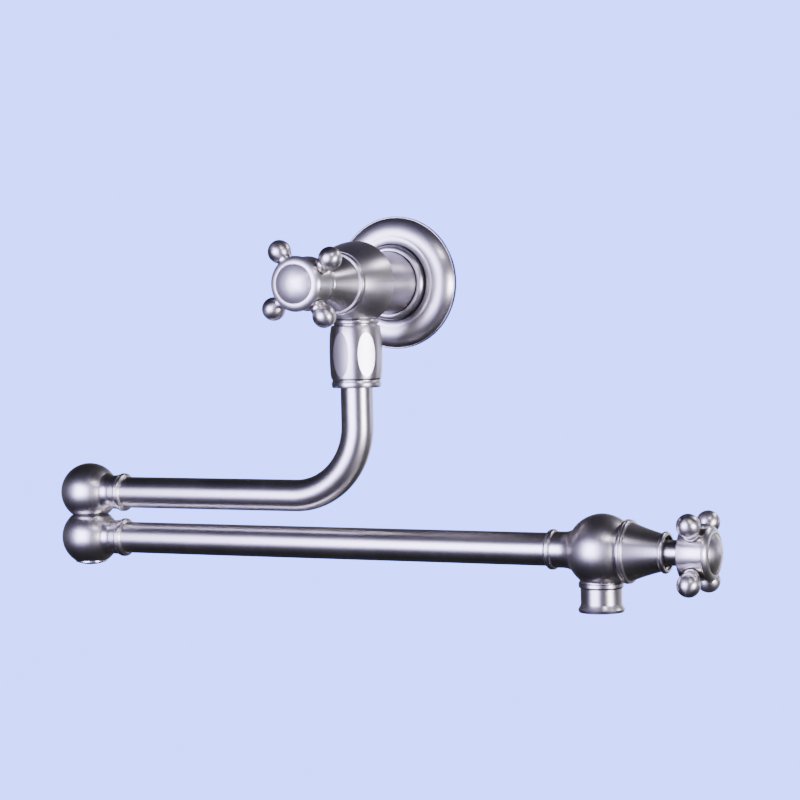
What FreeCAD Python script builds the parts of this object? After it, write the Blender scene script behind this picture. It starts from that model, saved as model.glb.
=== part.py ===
import FreeCAD, Part
import os
import re
import Sketcher

# A wall mounted pot filler, in millimetres. X runs right along the wall, Y runs into the wall and Z runs up.
# The origin is on the wall, on the axis of the wall valve. The arms are folded: the upper arm lies to the
# left and the lower arm comes back to the right below it.

SIZES = [
    ("Layout", None, None),
    ("stand_off", 52.5, "wall to the plane of both arms"),
    ("upper_drop", 118.9, "wall valve's axis down to the upper arm's axis"),
    ("upper_reach", 178.7, "swivel axis to the arm joint's axis"),
    ("arm_spacing", 26.4, "upper arm's axis down to the lower arm's axis"),
    ("lower_reach", 323.0, "arm joint's axis to the nozzle's axis"),
    ("tube_radius", 9.0, "outside of both arm tubes"),
    ("tube_wall", 1.2, "wall of both arm tubes"),
    ("bend_radius", 40.0, "centre line of the elbow"),
    ("passage_radius", 6.4, "water way through the cast pieces"),
    ("running_gap", 0.05, "all round a piece that turns in another"),
    ("thread_gap", 0.05, "all round a screwed or soldered fit"),
    ("seal_gap", 0.02, "between an O-ring and its groove or bore"),

    ("Wall flange", None, None),
    ("flange_radius", 37.9, "outside of the rim"),
    ("flange_rim", 1.4, "height of the rim's edge"),
    ("flange_step", 0.7, "step from the rim to the dome"),
    ("flange_height", 8.0, "crown of the dome above the wall"),
    ("flange_crown_radius", 26.0, "circle where the dome is highest"),
    ("flange_bulge", 1.8, "how full the dome is"),
    ("flange_lip_drop", 0.8, "fall from the crown to the groove"),
    ("flange_wall", 1.3, "sheet of the flange"),
    ("flange_hole_gap", 0.6, "hole of the flange round the shank"),
    ("gasket_width", 5.0, "foam ring behind the rim"),
    ("gasket_thickness", 1.0, "foam ring behind the rim"),
    ("gasket_gap", 0.3, "foam ring to the inside of the rim"),
    ("ring_radius", 21.3, "outside of the clamp ring"),
    ("ring_wall", 3.6, "clamp ring between its thread and its outside"),
    ("ring_groove", 0.7, "dark groove between clamp ring and flange"),
    ("ring_seat", 4.0, "where the clamp ring presses on the flange"),
    ("ring_height", 7.0, "clamp ring along the shank"),
    ("ring_round", 3.2, "height of the clamp ring's rounded front"),
    ("ring_face_radius", 19.2, "inner end of the rounded front"),
    ("ring_bulge", 0.55, "how full the rounded front is"),
    ("ring_lip_gap", 0.5, "open lip round the shank"),
    ("ring_lip_depth", 1.4, "open lip round the shank"),

    ("Wall valve body", None, None),
    ("shank_radius", 17.7, "cylinder between flange and barrel"),
    ("shank_bevel", 1.0, "bevel from the ring's thread up to the shank"),
    ("inlet_radius", 9.3, "female half-inch pipe thread"),
    ("inlet_depth", 15.0, "female half-inch pipe thread"),
    ("barrel_radius", 23.4, "widest circle of the barrel"),
    ("barrel_back", 3.4, "barrel's back edge behind the arms' plane"),
    ("barrel_edge", 0.9, "rounding of the barrel's back edge"),
    ("barrel_nose_radius", 17.3, "barrel where it meets the bonnet"),
    ("barrel_swell", 1.5, "how full the barrel is"),
    ("barrel_groove", 0.8, "groove between barrel and bonnet"),
    ("wall_seat", 20.4, "arms' plane to the bonnet's seat"),
    ("swivel_seat", 19.5, "valve's axis down to the nipple's seat"),
    ("swivel_boss_radius", 13.0, "round boss above the nipple"),

    ("Bonnet, one on each valve", None, None),
    ("spigot_radius", 12.5, "threaded spigot of the valve body"),
    ("spigot_length", 5.0, "threaded spigot of the valve body"),
    ("bonnet_bead_radius", 16.6, "edges of the double bead"),
    ("bonnet_bead_rise", 0.45, "how far the double bead swells"),
    ("bonnet_bead_split", 1.9, "seat to the seam in the double bead"),
    ("bonnet_bead_end", 3.2, "seat to the double bead's end"),
    ("bead_seam", 0.3, "depth and width of the fine seam in a bead"),
    ("bonnet_cone_radius", 15.6, "wide end of the hollow cone"),
    ("bonnet_cone_start", 3.5, "wide end of the hollow cone"),
    ("bonnet_neck_radius", 10.0, "narrow end of the hollow cone"),
    ("bonnet_neck_at", 20.8, "narrow end of the hollow cone"),
    ("bonnet_hollow", 0.35, "how hollow the cone is"),
    ("bonnet_lip_rise", 1.2, "how far the small bead swells"),
    ("bonnet_length", 23.6, "seat to the bonnet's front"),
    ("bonnet_mouth_radius", 9.3, "recess round the handle's neck"),
    ("bonnet_mouth_depth", 2.2, "recess round the handle's neck"),
    ("bonnet_bore_radius", 8.75, "bore behind the recess"),

    ("Ceramic cartridge, one in each valve", None, None),
    ("cavity_radius", 10.1, "bore for the cartridge"),
    ("cartridge_depth", 27.0, "bonnet's seat to the floor of the bore"),
    ("cartridge_gap", 0.15, "cartridge in its bore"),
    ("cartridge_tip", 1.5, "floor of the bore to the cartridge's end"),
    ("cartridge_flange_radius", 11.9, "flange under the bonnet"),
    ("cartridge_flange", 3.1, "thickness of that flange"),
    ("cartridge_neck_radius", 8.4, "neck inside the bonnet"),
    ("cartridge_neck_top", 15.0, "seat to the top of the neck"),
    ("chamber_radius", 8.6, "room round the discs"),
    ("chamber_roof", 12.9, "seat down to the chamber's roof"),
    ("window_width", 9.0, "side windows that let the water out"),
    ("window_height", 6.0, "side windows that let the water out"),
    ("disc_radius", 8.5, "both ceramic discs"),
    ("disc_thickness", 2.6, "each ceramic disc"),
    ("port_radius", 7.4, "quarter openings in the discs"),
    ("port_web_radius", 2.0, "solid middle of the discs"),
    ("port_angle", 80.0, "quarter openings in the discs, degrees"),
    ("disc_ports", 2, "quarter openings in each disc"),
    ("dog_width", 2.4, "tongue that drives the moving disc"),
    ("dog_depth", 1.0, "tongue that drives the moving disc"),
    ("seal_radius", 5.4, "bore of the seat seal"),
    ("seal_height", 2.6, "seat seal"),
    ("oring_section", 0.85, "radius of the cartridge O-ring's section"),
    ("oring_level", 3.2, "seat down to the cartridge O-ring"),
    ("spindle_radius", 4.0, "shaft of the spindle"),
    ("spindle_foot_radius", 5.0, "foot that drives the moving disc"),
    ("spindle_top", 36.0, "seat to the spindle's end"),
    ("drive_side", 2.75, "half the side of the square drive"),
    ("drive_start", 20.8, "seat to the start of the square drive"),
    ("spindle_tap_radius", 2.0, "tapped hole for the handle's screw"),
    ("spindle_tap_depth", 11.0, "tapped hole for the handle's screw"),
    ("spindle_ring_section", 0.6, "radius of the spindle O-rings' section"),
    ("spindle_ring_low", 1.5, "seat to the lower spindle O-ring"),
    ("spindle_ring_high", 5.5, "seat to the upper spindle O-ring"),
    ("clip_groove_radius", 3.3, "groove for the spindle clip"),
    ("clip_radius", 6.0, "outside of the spindle clip"),
    ("clip_thickness", 0.8, "spindle clip"),
    ("clip_angle", 300.0, "how far the clip reaches round, degrees"),

    ("Cross handle, one on each valve", None, None),
    ("handle_neck_radius", 6.9, "neck that turns in the bonnet's recess"),
    ("handle_neck_start", 21.0, "seat to the neck's end"),
    ("hub_start", 32.6, "seat to the back of the hub"),
    ("hub_radius", 14.8, "back edge of the hub"),
    ("hub_round", 0.8, "rounding of the hub's back"),
    ("hub_length", 13.3, "hub's back to the bezel"),
    ("hub_front_radius", 13.6, "hub where it meets the bezel"),
    ("hub_waist", 0.6, "how hollow the hub's side is"),
    ("bezel_radius", 14.95, "widest circle of the bezel"),
    ("bezel_at", 47.0, "seat to the bezel's widest circle"),
    ("bezel_edge", 0.35, "rounded edge of the bezel"),
    ("bezel_face", 49.6, "seat to the bezel's inner edge"),
    ("bezel_bulge", 0.45, "how full the bezel's face is"),
    ("cap_radius", 10.55, "domed cap at its edge"),
    ("cap_groove", 0.4, "fine groove round the cap"),
    ("cap_groove_depth", 1.2, "fine groove round the cap"),
    ("cap_rise", 3.3, "dome of the cap above its edge"),
    ("cap_skirt_radius", 9.5, "skirt pushed into the hub"),
    ("cap_skirt_length", 3.6, "skirt pushed into the hub"),
    ("cap_wall", 1.2, "sheet of the cap"),
    ("hub_pocket_floor", 44.0, "seat to the floor behind the cap"),
    ("screw_seat", 37.6, "seat to the shelf under the screw's head"),
    ("screw_head_radius", 4.2, "handle screw"),
    ("screw_head_height", 2.8, "handle screw"),
    ("screw_shank_radius", 1.95, "handle screw"),
    ("screw_length", 11.0, "handle screw below its head"),
    ("screw_hex", 1.5, "half the width of the screw's hexagon"),
    ("screw_hex_depth", 1.6, "hexagon in the screw's head"),
    ("screw_head_gap", 0.4, "recess round the screw's head"),
    ("spokes", 4, "spokes of a handle"),
    ("ball_plane", 40.3, "seat to the plane of the four balls"),
    ("ball_pitch", 21.85, "handle's axis to the centre of a ball"),
    ("ball_radius", 6.36, "ball of a spoke"),
    ("spoke_cup_radius", 4.5, "cup under the ball at its rim"),
    ("spoke_cup_foot", 2.9, "cup under the ball at its foot"),
    ("spoke_cup_height", 3.9, "cup under the ball"),
    ("spoke_cup_swell", 0.5, "how full the cup is"),
    ("spoke_cup_seam", 0.25, "fine step between the cup and the ball"),
    ("spoke_seat", 13.0, "handle's axis to the flat under the cup"),
    ("stud_radius", 2.0, "threaded end of a spoke"),
    ("stud_length", 4.5, "threaded end of a spoke"),
    ("spoke_seat_gap", 1.1, "flat round the cup's foot"),
    ("wall_handle_angle", 37.0, "first ball of the wall handle, degrees"),
    ("outlet_handle_angle", 43.3, "first ball of the outlet handle, degrees"),

    ("Wall swivel", None, None),
    ("nipple_thread_radius", 10.0, "thread in the valve body"),
    ("nipple_depth", 7.0, "thread in the valve body"),
    ("collar_radius", 12.6, "foot of the nipple's collar"),
    ("collar_rise", 0.45, "how far the collar swells"),
    ("collar_height", 3.8, "nipple's collar"),
    ("collar_seam", 0.6, "fine groove above and below the collar"),
    ("nipple_radius", 11.0, "thread inside the swivel nut"),
    ("nut_edge", 0.6, "bevelled ends of the nut"),
    ("nut_top_radius", 13.6, "top of the nut's barrel"),
    ("nut_swell", 1.3, "how full the nut's barrel is"),
    ("nut_foot_radius", 14.0, "bottom of the nut's barrel"),
    ("nut_flat", 14.18, "axis to each of the six flats"),
    ("nut_angle", 38.4, "first flat of the nut, degrees"),
    ("nut_barrel_end", 52.8, "valve's axis down to the barrel's end"),
    ("nut_groove_radius", 13.4, "groove above the nut's lower bead"),
    ("nut_groove", 1.3, "groove above the nut's lower bead"),
    ("nut_bead_rise", 0.45, "how far the lower bead swells"),
    ("nut_end", 57.9, "valve's axis down to the nut's end"),
    ("nut_shelf", 51.2, "valve's axis down to the shelf that carries the arm"),
    ("slip_washer", 1.0, "each slip washer of the wall swivel"),
    ("spigot_flange", 3.0, "flange of the arm's spigot"),
    ("spigot_flange_radius", 10.7, "flange of the arm's spigot"),
    ("spigot_top", 28.2, "valve's axis down to the spigot's top"),
    ("spigot_top_gap", 0.7, "room above the spigot's top"),
    ("spigot_bore_radius", 5.6, "water way of the spigot"),
    ("swivel_bore_radius", 8.05, "nipple's bore round the spigot"),
    ("spigot_tail", 8.0, "spigot soldered into the tube"),
    ("swivel_ring_section", 0.9, "radius of the swivel O-rings' section"),
    ("swivel_ring_high", 33.0, "valve's axis down to the upper O-ring"),
    ("swivel_ring_low", 39.0, "valve's axis down to the lower O-ring"),

    ("Arm joint", None, None),
    ("joint_radius", 16.85, "both joint balls"),
    ("joint_cove_start", 11.0, "joint axis to where the neck leaves the ball"),
    ("joint_cove", 0.9, "how hollow the neck is"),
    ("joint_neck_radius", 9.95, "thinnest part of the neck"),
    ("joint_neck_at", 18.4, "joint axis to the neck's end"),
    ("joint_bead_start", 21.8, "joint axis to the bead"),
    ("bead_length", 3.8, "bead at the end of each socket"),
    ("bead_rise", 1.1, "how far that bead swells"),
    ("bead_lobe", 0.3, "how full each half of that bead is"),
    ("joint_socket_end", 26.0, "joint axis to the end of the socket"),
    ("socket_lip", 0.35, "edge of a socket round its tube"),
    ("socket_depth", 7.0, "tube soldered into a socket"),
    ("joint_washer", 0.5, "slip washer between the balls"),
    ("joint_washer_radius", 10.2, "slip washer between the balls"),
    ("joint_chamber_radius", 9.0, "room round the bolt inside a ball"),
    ("joint_chamber_half", 4.5, "half the height of that room"),
    ("bolt_thread_radius", 5.5, "hollow bolt in the upper ball"),
    ("bolt_radius", 6.5, "hollow bolt in the lower ball"),
    ("bolt_bore_radius", 3.8, "water way of the bolt"),
    ("bolt_port_radius", 2.4, "cross holes of the bolt"),
    ("bolt_head_radius", 8.3, "head of the bolt"),
    ("bolt_head_height", 2.8, "head of the bolt"),
    ("bolt_shelf", 7.6, "lower ball's centre down to the shelf"),
    ("spring_washer", 0.7, "spring washer under the bolt's head"),
    ("counterbore_radius", 8.6, "recess for the bolt's head"),
    ("bolt_ring_section", 0.8, "radius of the bolt O-rings' section"),
    ("bolt_ring_high", 8.2, "lower ball's centre up to the O-ring"),
    ("bolt_ring_low", 6.0, "lower ball's centre down to the O-ring"),
    ("joint_cap_level", 13.8, "lower ball's centre down to the cap"),
    ("joint_cap_radius", 9.3, "lens-shaped cap"),
    ("joint_cap_edge", 0.8, "edge of the cap"),
    ("joint_cap_rise", 1.9, "lens of the cap"),
    ("joint_cap_plug", 1.6, "plug of the cap in the recess"),
    ("joint_cap_gap", 0.1, "plug of the cap in the recess"),

    ("Outlet valve body and nozzle", None, None),
    ("outlet_seat", 14.6, "nozzle's axis to the bonnet's seat"),
    ("outlet_length", 29.8, "nozzle's axis back to the socket's end"),
    ("outlet_bead_end", 25.6, "nozzle's axis back to the bead's end"),
    ("outlet_neck_radius", 9.8, "thinnest part of the neck"),
    ("outlet_neck_at", 20.8, "nozzle's axis back to the neck"),
    ("outlet_cove_radius", 11.6, "where the cove meets the globe"),
    ("outlet_cove_at", 14.6, "where the cove meets the globe"),
    ("outlet_cove", 0.35, "how hollow the cove is"),
    ("outlet_globe_radius", 20.0, "widest circle of the globe"),
    ("outlet_globe_at", 1.2, "nozzle's axis to the widest circle"),
    ("outlet_back_swell", 1.96, "how full the back of the globe is"),
    ("outlet_front_swell", 0.9, "how full the front of the globe is"),
    ("outlet_nose_radius", 15.7, "globe where it meets the bonnet"),
    ("outlet_groove_radius", 15.2, "groove behind the bonnet"),
    ("nozzle_seat", 16.8, "arm's axis down to the nozzle's seat"),
    ("nozzle_boss_radius", 11.6, "round boss above the nozzle"),
    ("nozzle_thread_radius", 8.9, "nozzle's thread in the body"),
    ("nozzle_thread_length", 6.2, "nozzle's thread in the body"),
    ("nozzle_collar_radius", 12.1, "nozzle's upper collar"),
    ("nozzle_collar_height", 2.2, "nozzle's upper collar"),
    ("nozzle_radius", 11.1, "nozzle's straight part"),
    ("nozzle_flare_at", 28.3, "arm's axis down to the flare"),
    ("nozzle_flare_radius", 12.6, "widest circle of the flare"),
    ("nozzle_flare_widest", 31.0, "arm's axis down to the flare's widest circle"),
    ("nozzle_flare", 0.25, "how hollow the flare is"),
    ("nozzle_mouth_radius", 12.0, "edge of the mouth"),
    ("nozzle_end", 32.6, "arm's axis down to the mouth"),
    ("nozzle_shelf", 22.0, "arm's axis down to the washer's shelf"),
    ("insert_radius", 9.6, "bore for the flow insert"),
    ("insert_height", 7.0, "flow insert"),
    ("insert_floor", 1.8, "drilled floor of the flow insert"),
    ("insert_wall", 1.6, "wall of the flow insert"),
    ("insert_hole_radius", 1.0, "each hole of the flow insert"),
    ("insert_hole_circle", 5.2, "circle of the holes"),
    ("insert_holes", 10, "holes on that circle"),
    ("nozzle_washer", 2.0, "washer above the flow insert"),
]

document = FreeCAD.newDocument("pot_filler")
sizes = document.addObject("Spreadsheet::Sheet", "Sizes")
for row, (name, number, note) in enumerate(SIZES, start=1):
    sizes.set("A" + str(row), name)
    if number is not None:
        sizes.set("B" + str(row), str(number))
        sizes.setAlias("B" + str(row), name)
        sizes.set("C" + str(row), note)
document.recompute()

nodes = []


# Expressions, frames and the ways in which a piece is made

def linked(text):
    """The expression with each size's name pointing at its cell."""
    return re.sub(r"\b([a-z]\w+)\b(?!\()", r"Sizes.\1", text)


def value(text):
    """The number that an expression of sizes stands for now."""
    return float(sizes.evalExpression(text))


class Frame:
    """Where a piece's own axes stand: how they are turned, and their origin written with sizes' names."""

    def __init__(self, turn, x="0", y="0", z="0"):
        self.turn = turn
        self.origin = (x, y, z)

    def along(self, distance):
        """The frame moved along its own Z axis."""
        axis = self.turn.multVec(FreeCAD.Vector(0, 0, 1))
        moved = []
        for start, share in zip(self.origin, axis):
            moved.append(f"{start} + {round(share)} * ({distance})")
        return Frame(self.turn, *moved)

    def turned(self, axis, degrees):
        """The frame turned about one of its own axes."""
        return Frame(self.turn.multiply(FreeCAD.Rotation(axis, degrees)), *self.origin)

    def place(self, piece):
        """Put a piece into the frame."""
        piece.Placement = FreeCAD.Placement(FreeCAD.Vector(), self.turn)
        for letter, text in zip("xyz", self.origin):
            piece.setExpression("Placement.Base." + letter, linked(text))


def node(piece, name, frame):
    """Name a finished piece, place it and list it for export."""
    piece.Label = name
    frame.place(piece)
    nodes.append(piece)
    return piece


def through(middle_x, middle_y, x, y):
    """A step of an outline: an arc to (x, y) that passes through its middle point."""
    return ("through", middle_x, middle_y, x, y)


def bow(rise_x, rise_y, x, y):
    """A step of an outline: an arc to (x, y) whose middle stands off the chord's middle by the rise."""
    return ("bow", rise_x, rise_y, x, y)


def new_sketch(body, name, role, level="0"):
    """A sketch on one of the body's own planes, or level with it."""
    plane = [feature for feature in body.Origin.OriginFeatures if feature.Role == role][0]
    sketch = body.newObject("Sketcher::SketchObject", body.Name + "_" + name)
    sketch.AttachmentSupport = [(plane, "")]
    sketch.MapMode = "FlatFace"
    sketch.setExpression("AttachmentOffset.Base.z", linked(level))
    return sketch


def pin(ties, geometry, position, x, y):
    """Note the ties that hold one point of a sketch at (x, y)."""
    for kind, text in (("DistanceX", x), ("DistanceY", y)):
        ties.append((Sketcher.Constraint(kind, -1, 1, geometry, position, value(text)), text))


def tie(sketch, ties):
    """Add the noted constraints, and bind each one that has a size to the sheet."""
    indices = sketch.addConstraint([constraint for constraint, text in ties])
    for index, (constraint, text) in zip(indices, ties):
        if text:
            label = f"size_{index}"
            sketch.renameConstraint(index, label)
            sketch.setExpression("Constraints." + label, linked(text))


def draw(sketch, outline, start_at=None):
    """Draw straight steps (x, y) and arcs, every point bound to the sheet. The outline closes on itself,
    or is an open path when it is given a start."""
    def spot(x, y):
        return FreeCAD.Vector(value(x), value(y), 0)

    ties = []
    ends = []
    before = start_at or outline[-1][-2:]
    for step in outline:
        here = step[-2:]
        start = spot(*before)
        end = spot(*here)
        if len(step) == 2:
            edge = sketch.addGeometry(Part.LineSegment(start, end))
            ends.append((edge, 1, 2))
        else:
            middle = step[1:3]
            if step[0] == "bow":
                middle = tuple(f"(({a}) + ({b})) / 2 + ({c})" for a, b, c in zip(before, here, middle))
            edge = sketch.addGeometry(Part.Arc(start, spot(*middle), end))
            gaps = [sketch.getPoint(edge, position).distanceToPoint(start) for position in (1, 2)]
            ends.append((edge, 1, 2) if gaps[0] < gaps[1] else (edge, 2, 1))
            mark = sketch.addGeometry(Part.Point(spot(*middle)), True)
            ties.append((Sketcher.Constraint("PointOnObject", mark, 1, edge), None))
            pin(ties, mark, 1, *middle)
        pin(ties, edge, ends[-1][2], *here)
        before = here
    if start_at:
        pin(ties, ends[0][0], ends[0][1], *start_at)
        followers = ends[1:]
    else:
        followers = ends[1:] + ends[:1]
    for (edge, first, last), (following, head, tail) in zip(ends, followers):
        ties.append((Sketcher.Constraint("Coincident", edge, last, following, head), None))
    tie(sketch, ties)


def draw_circle(sketch, x, y, radius):
    """Draw a circle bound to the sheet."""
    centre = FreeCAD.Vector(value(x), value(y), 0)
    circle = sketch.addGeometry(Part.Circle(centre, FreeCAD.Vector(0, 0, 1), value(radius)))
    ties = [(Sketcher.Constraint("Radius", circle, value(radius)), radius)]
    pin(ties, circle, 3, x, y)
    tie(sketch, ties)


def revolve(body, kind, name, outline, axis="V_Axis", angle="360"):
    """Turn an outline about an axis of its sketch: a Revolution adds, a Groove cuts."""
    sketch = new_sketch(body, name + "_outline", "XZ_Plane")
    draw(sketch, outline)
    feature = body.newObject("PartDesign::" + kind, body.Name + "_" + name)
    feature.Profile = sketch
    feature.ReferenceAxis = (sketch, [axis])
    feature.setExpression("Angle", linked(angle))
    return feature


def turned(name, frame, outline, angle="360"):
    """A piece turned about its own Z axis. Its outline's points are (radius, height)."""
    body = document.addObject("PartDesign::Body", name)
    revolve(body, "Revolution", "turning", outline, angle=angle)
    return node(body, name, frame)


def extrude(body, kind, sketch, length=None, backwards=False):
    """Pad or pocket a sketch by a length, or cut right through both ways."""
    feature = body.newObject("PartDesign::" + kind, sketch.Name + "_" + kind.lower())
    feature.Profile = sketch
    if length:
        feature.Type = "Length"
        feature.setExpression("Length", linked(length))
        feature.Reversed = backwards
    else:
        feature.Type = "ThroughAll"
        feature.Midplane = True
    return feature


def drill(body, name, role, level, x, y, radius, depth, backwards=False):
    """Drill a round hole against the normal of a plane at a level, or along it when backwards."""
    sketch = new_sketch(body, name, role, level)
    draw_circle(sketch, x, y, radius)
    return extrude(body, "Pocket", sketch, depth, backwards)


def repeat(body, feature, count):
    """Repeat a feature round the body's Z axis."""
    axis = [line for line in body.Origin.OriginFeatures if line.Role == "Z_Axis"][0]
    pattern = body.newObject("PartDesign::PolarPattern", feature.Name + "_pattern")
    pattern.Originals = [feature]
    pattern.Axis = (axis, [""])
    pattern.Angle = 360
    pattern.setExpression("Occurrences", linked(count))
    body.Tip = pattern


def hexagon(apothem):
    """Six corners with two of the flats square to X."""
    half = f"({apothem}) / sqrt(3)"
    return [(apothem, f"-{half}"), (apothem, half), ("0", f"2 * {half}"), (f"-({apothem})", half),
            (f"-({apothem})", f"-{half}"), ("0", f"-2 * {half}")]


def rectangle(left, right, low, high):
    """Four corners."""
    return [(left, low), (right, low), (right, high), (left, high)]


def ring(inner, outer, low, high):
    """Outline of a plain ring."""
    return rectangle(inner, outer, low, high)


def ring_groove(radius, bore, section, level):
    """Steps of an outline, upwards, that cut the groove of an O-ring into a shaft that stands in a bore."""
    floor = f"{bore} - 2 * {section} - 2 * seal_gap"
    low = f"{level} - {section} - seal_gap"
    high = f"{level} + {section} + seal_gap"
    return [(radius, low), (floor, low), (floor, high), (radius, high)]


def o_rings(name, frame, bore, section, levels):
    """O-rings in their grooves: one torus for each level, kept as separate solids in one node."""
    rings = []
    for number, level in enumerate(levels, start=1):
        torus = document.addObject("Part::Torus", f"{name}_{number}")
        torus.setExpression("Radius1", linked(f"{bore} - seal_gap - {section}"))
        torus.setExpression("Radius2", linked(section))
        torus.setExpression("Placement.Base.z", linked(level))
        rings.append(torus)
    if len(rings) == 1:
        return node(rings[0], name, frame.along(levels[0]))
    group = document.addObject("Part::Compound", name)
    group.Links = rings
    return node(group, name, frame)


def bead(radius, start):
    """Steps of an outline, along the axis, that draw a round bead with a fine seam in its middle."""
    middle = f"{start} + bead_length / 2"
    return [
        (radius, start),
        bow("bead_lobe", "-bead_lobe", f"{radius} + bead_rise", f"{middle} - bead_seam / 2"),
        (f"{radius} + bead_rise - bead_seam", middle),
        (f"{radius} + bead_rise", f"{middle} + bead_seam / 2"),
        bow("bead_lobe", "bead_lobe", radius, f"{start} + bead_length"),
    ]


def swapped(outline):
    """An outline with its two coordinates changed over."""
    mirrored = []
    for step in outline:
        if len(step) == 2:
            mirrored.append(step[::-1])
        else:
            kind, middle_x, middle_y, x, y = step
            mirrored.append((kind, middle_y, middle_x, y, x))
    return mirrored


# Frames: out of the wall, along the outlet valve, down from a valve, and along the arms

OUT_OF_WALL = FreeCAD.Rotation(FreeCAD.Vector(1, 0, 0), 90)
ALONG_X = FreeCAD.Rotation(FreeCAD.Vector(1, 1, 1), 120)
UPRIGHT = FreeCAD.Rotation()
DOWNWARDS = FreeCAD.Rotation(FreeCAD.Vector(1, 0, 0), 180)
Z_AXIS = FreeCAD.Vector(0, 0, 1)
Y_AXIS = FreeCAD.Vector(0, 1, 0)

LOWER_DROP = "(upper_drop + arm_spacing)"
OUTLET_X = "(lower_reach - upper_reach)"
JOINT_FLAT = "((arm_spacing - joint_washer) / 2 - running_gap)"

wall = Frame(OUT_OF_WALL)
swivel = Frame(DOWNWARDS, y="-stand_off")
elbow = Frame(UPRIGHT, y="-stand_off")
upper_ball = Frame(UPRIGHT, "-upper_reach", "-stand_off", "-upper_drop")
lower_ball = Frame(DOWNWARDS, "-upper_reach", "-stand_off", "-" + LOWER_DROP)
lower_arm = Frame(ALONG_X, "-upper_reach", "-stand_off", "-" + LOWER_DROP)
outlet = Frame(ALONG_X, OUTLET_X, "-stand_off", "-" + LOWER_DROP)
nozzle = Frame(DOWNWARDS, OUTLET_X, "-stand_off", "-" + LOWER_DROP)


# Wall flange: a domed rose, its foam gasket and the ring that clamps it on the shank

GROOVE = "(ring_radius + ring_groove)"
RING_THREAD = "(ring_radius - ring_wall)"
RIM_INSIDE = "(flange_radius - flange_wall - flange_step)"
LIP = "(flange_height - flange_lip_drop)"

turned("wall_flange", wall, [
    ("flange_radius", "0"),
    ("flange_radius", "flange_rim"),
    ("flange_radius - flange_step", "flange_rim"),
    bow("flange_bulge", "flange_bulge", "flange_crown_radius", "flange_height"),
    bow("0", "flange_lip_drop / 2", GROOVE, LIP),
    (GROOVE, "ring_seat"),
    (RING_THREAD + " + flange_hole_gap", "ring_seat"),
    (RING_THREAD + " + flange_hole_gap", "ring_seat - flange_wall"),
    (GROOVE + " + flange_wall", "ring_seat - flange_wall"),
    (GROOVE + " + flange_wall", LIP + " - flange_wall"),
    ("flange_crown_radius", "flange_height - flange_wall"),
    bow("flange_bulge", "flange_bulge", RIM_INSIDE, "0"),
])
GASKET_OUTSIDE = "(flange_radius - flange_wall - flange_step - gasket_gap)"
turned("flange_gasket", wall,
       ring(GASKET_OUTSIDE + " - gasket_width", GASKET_OUTSIDE, "0", "gasket_thickness"))

RING_FRONT = "(ring_seat + ring_height)"
RING_LIP = "(ring_radius - ring_wall + ring_lip_gap)"
turned("flange_ring", wall, [
    (RING_THREAD + " + thread_gap", "ring_seat"),
    ("ring_radius", "ring_seat"),
    ("ring_radius", RING_FRONT + " - ring_round"),
    bow("ring_bulge", "ring_bulge", "ring_face_radius", RING_FRONT),
    (RING_LIP, RING_FRONT),
    (RING_LIP, RING_FRONT + " - ring_lip_depth"),
    (RING_THREAD + " + thread_gap", RING_FRONT + " - ring_lip_depth"),
])


# Valve bodies: castings with a bore for the cartridge and a flat, drilled boss below

def finish_valve_body(body, along, seat_drop, boss_radius, bores, thread_radius, thread_depth, width):
    """Add the boss below a valve body, cut it flat, and bore it along and from below."""
    boss = new_sketch(body, "boss", "XZ_Plane")
    draw_circle(boss, "0", along, boss_radius)
    extrude(body, "Pad", boss, seat_drop)
    below = new_sketch(body, "below", "XY_Plane")
    draw(below, rectangle(f"-2 * {width}", f"2 * {width}", f"-2 * {width}", f"-{seat_drop}"))
    extrude(body, "Pocket", below)
    revolve(body, "Groove", "bore", bores)
    drill(body, "port", "XZ_Plane", seat_drop, "0", along, "passage_radius", seat_drop)
    drill(body, "thread", "XZ_Plane", seat_drop, "0", along, thread_radius, thread_depth)


WALL_SEAT = "(stand_off + wall_seat)"
BARREL_BACK = "(stand_off - barrel_back)"
wall_valve_body = turned("wall_valve_body", wall, [
    ("0", "0"),
    (RING_THREAD, "0"),
    (RING_THREAD, RING_FRONT),
    ("shank_radius", RING_FRONT + " + shank_bevel"),
    ("shank_radius", BARREL_BACK),
    ("barrel_radius - barrel_edge", BARREL_BACK),
    bow("barrel_edge / 5", "-barrel_edge / 5", "barrel_radius", BARREL_BACK + " + barrel_edge"),
    bow("barrel_swell", "0", "barrel_nose_radius", WALL_SEAT + " - barrel_groove"),
    ("bonnet_bead_radius - barrel_groove", WALL_SEAT + " - barrel_groove"),
    ("bonnet_bead_radius - barrel_groove", WALL_SEAT),
    ("spigot_radius", WALL_SEAT),
    ("spigot_radius", WALL_SEAT + " + spigot_length"),
    ("0", WALL_SEAT + " + spigot_length"),
])
finish_valve_body(wall_valve_body, "stand_off", "swivel_seat", "swivel_boss_radius", [
    ("0", "0"),
    ("inlet_radius", "0"),
    ("inlet_radius", "inlet_depth"),
    ("passage_radius", "inlet_depth"),
    ("passage_radius", WALL_SEAT + " - cartridge_depth"),
    ("cavity_radius", WALL_SEAT + " - cartridge_depth"),
    ("cavity_radius", WALL_SEAT + " + spigot_length"),
    ("0", WALL_SEAT + " + spigot_length"),
], "nipple_thread_radius + thread_gap", "nipple_depth", "barrel_radius")

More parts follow.
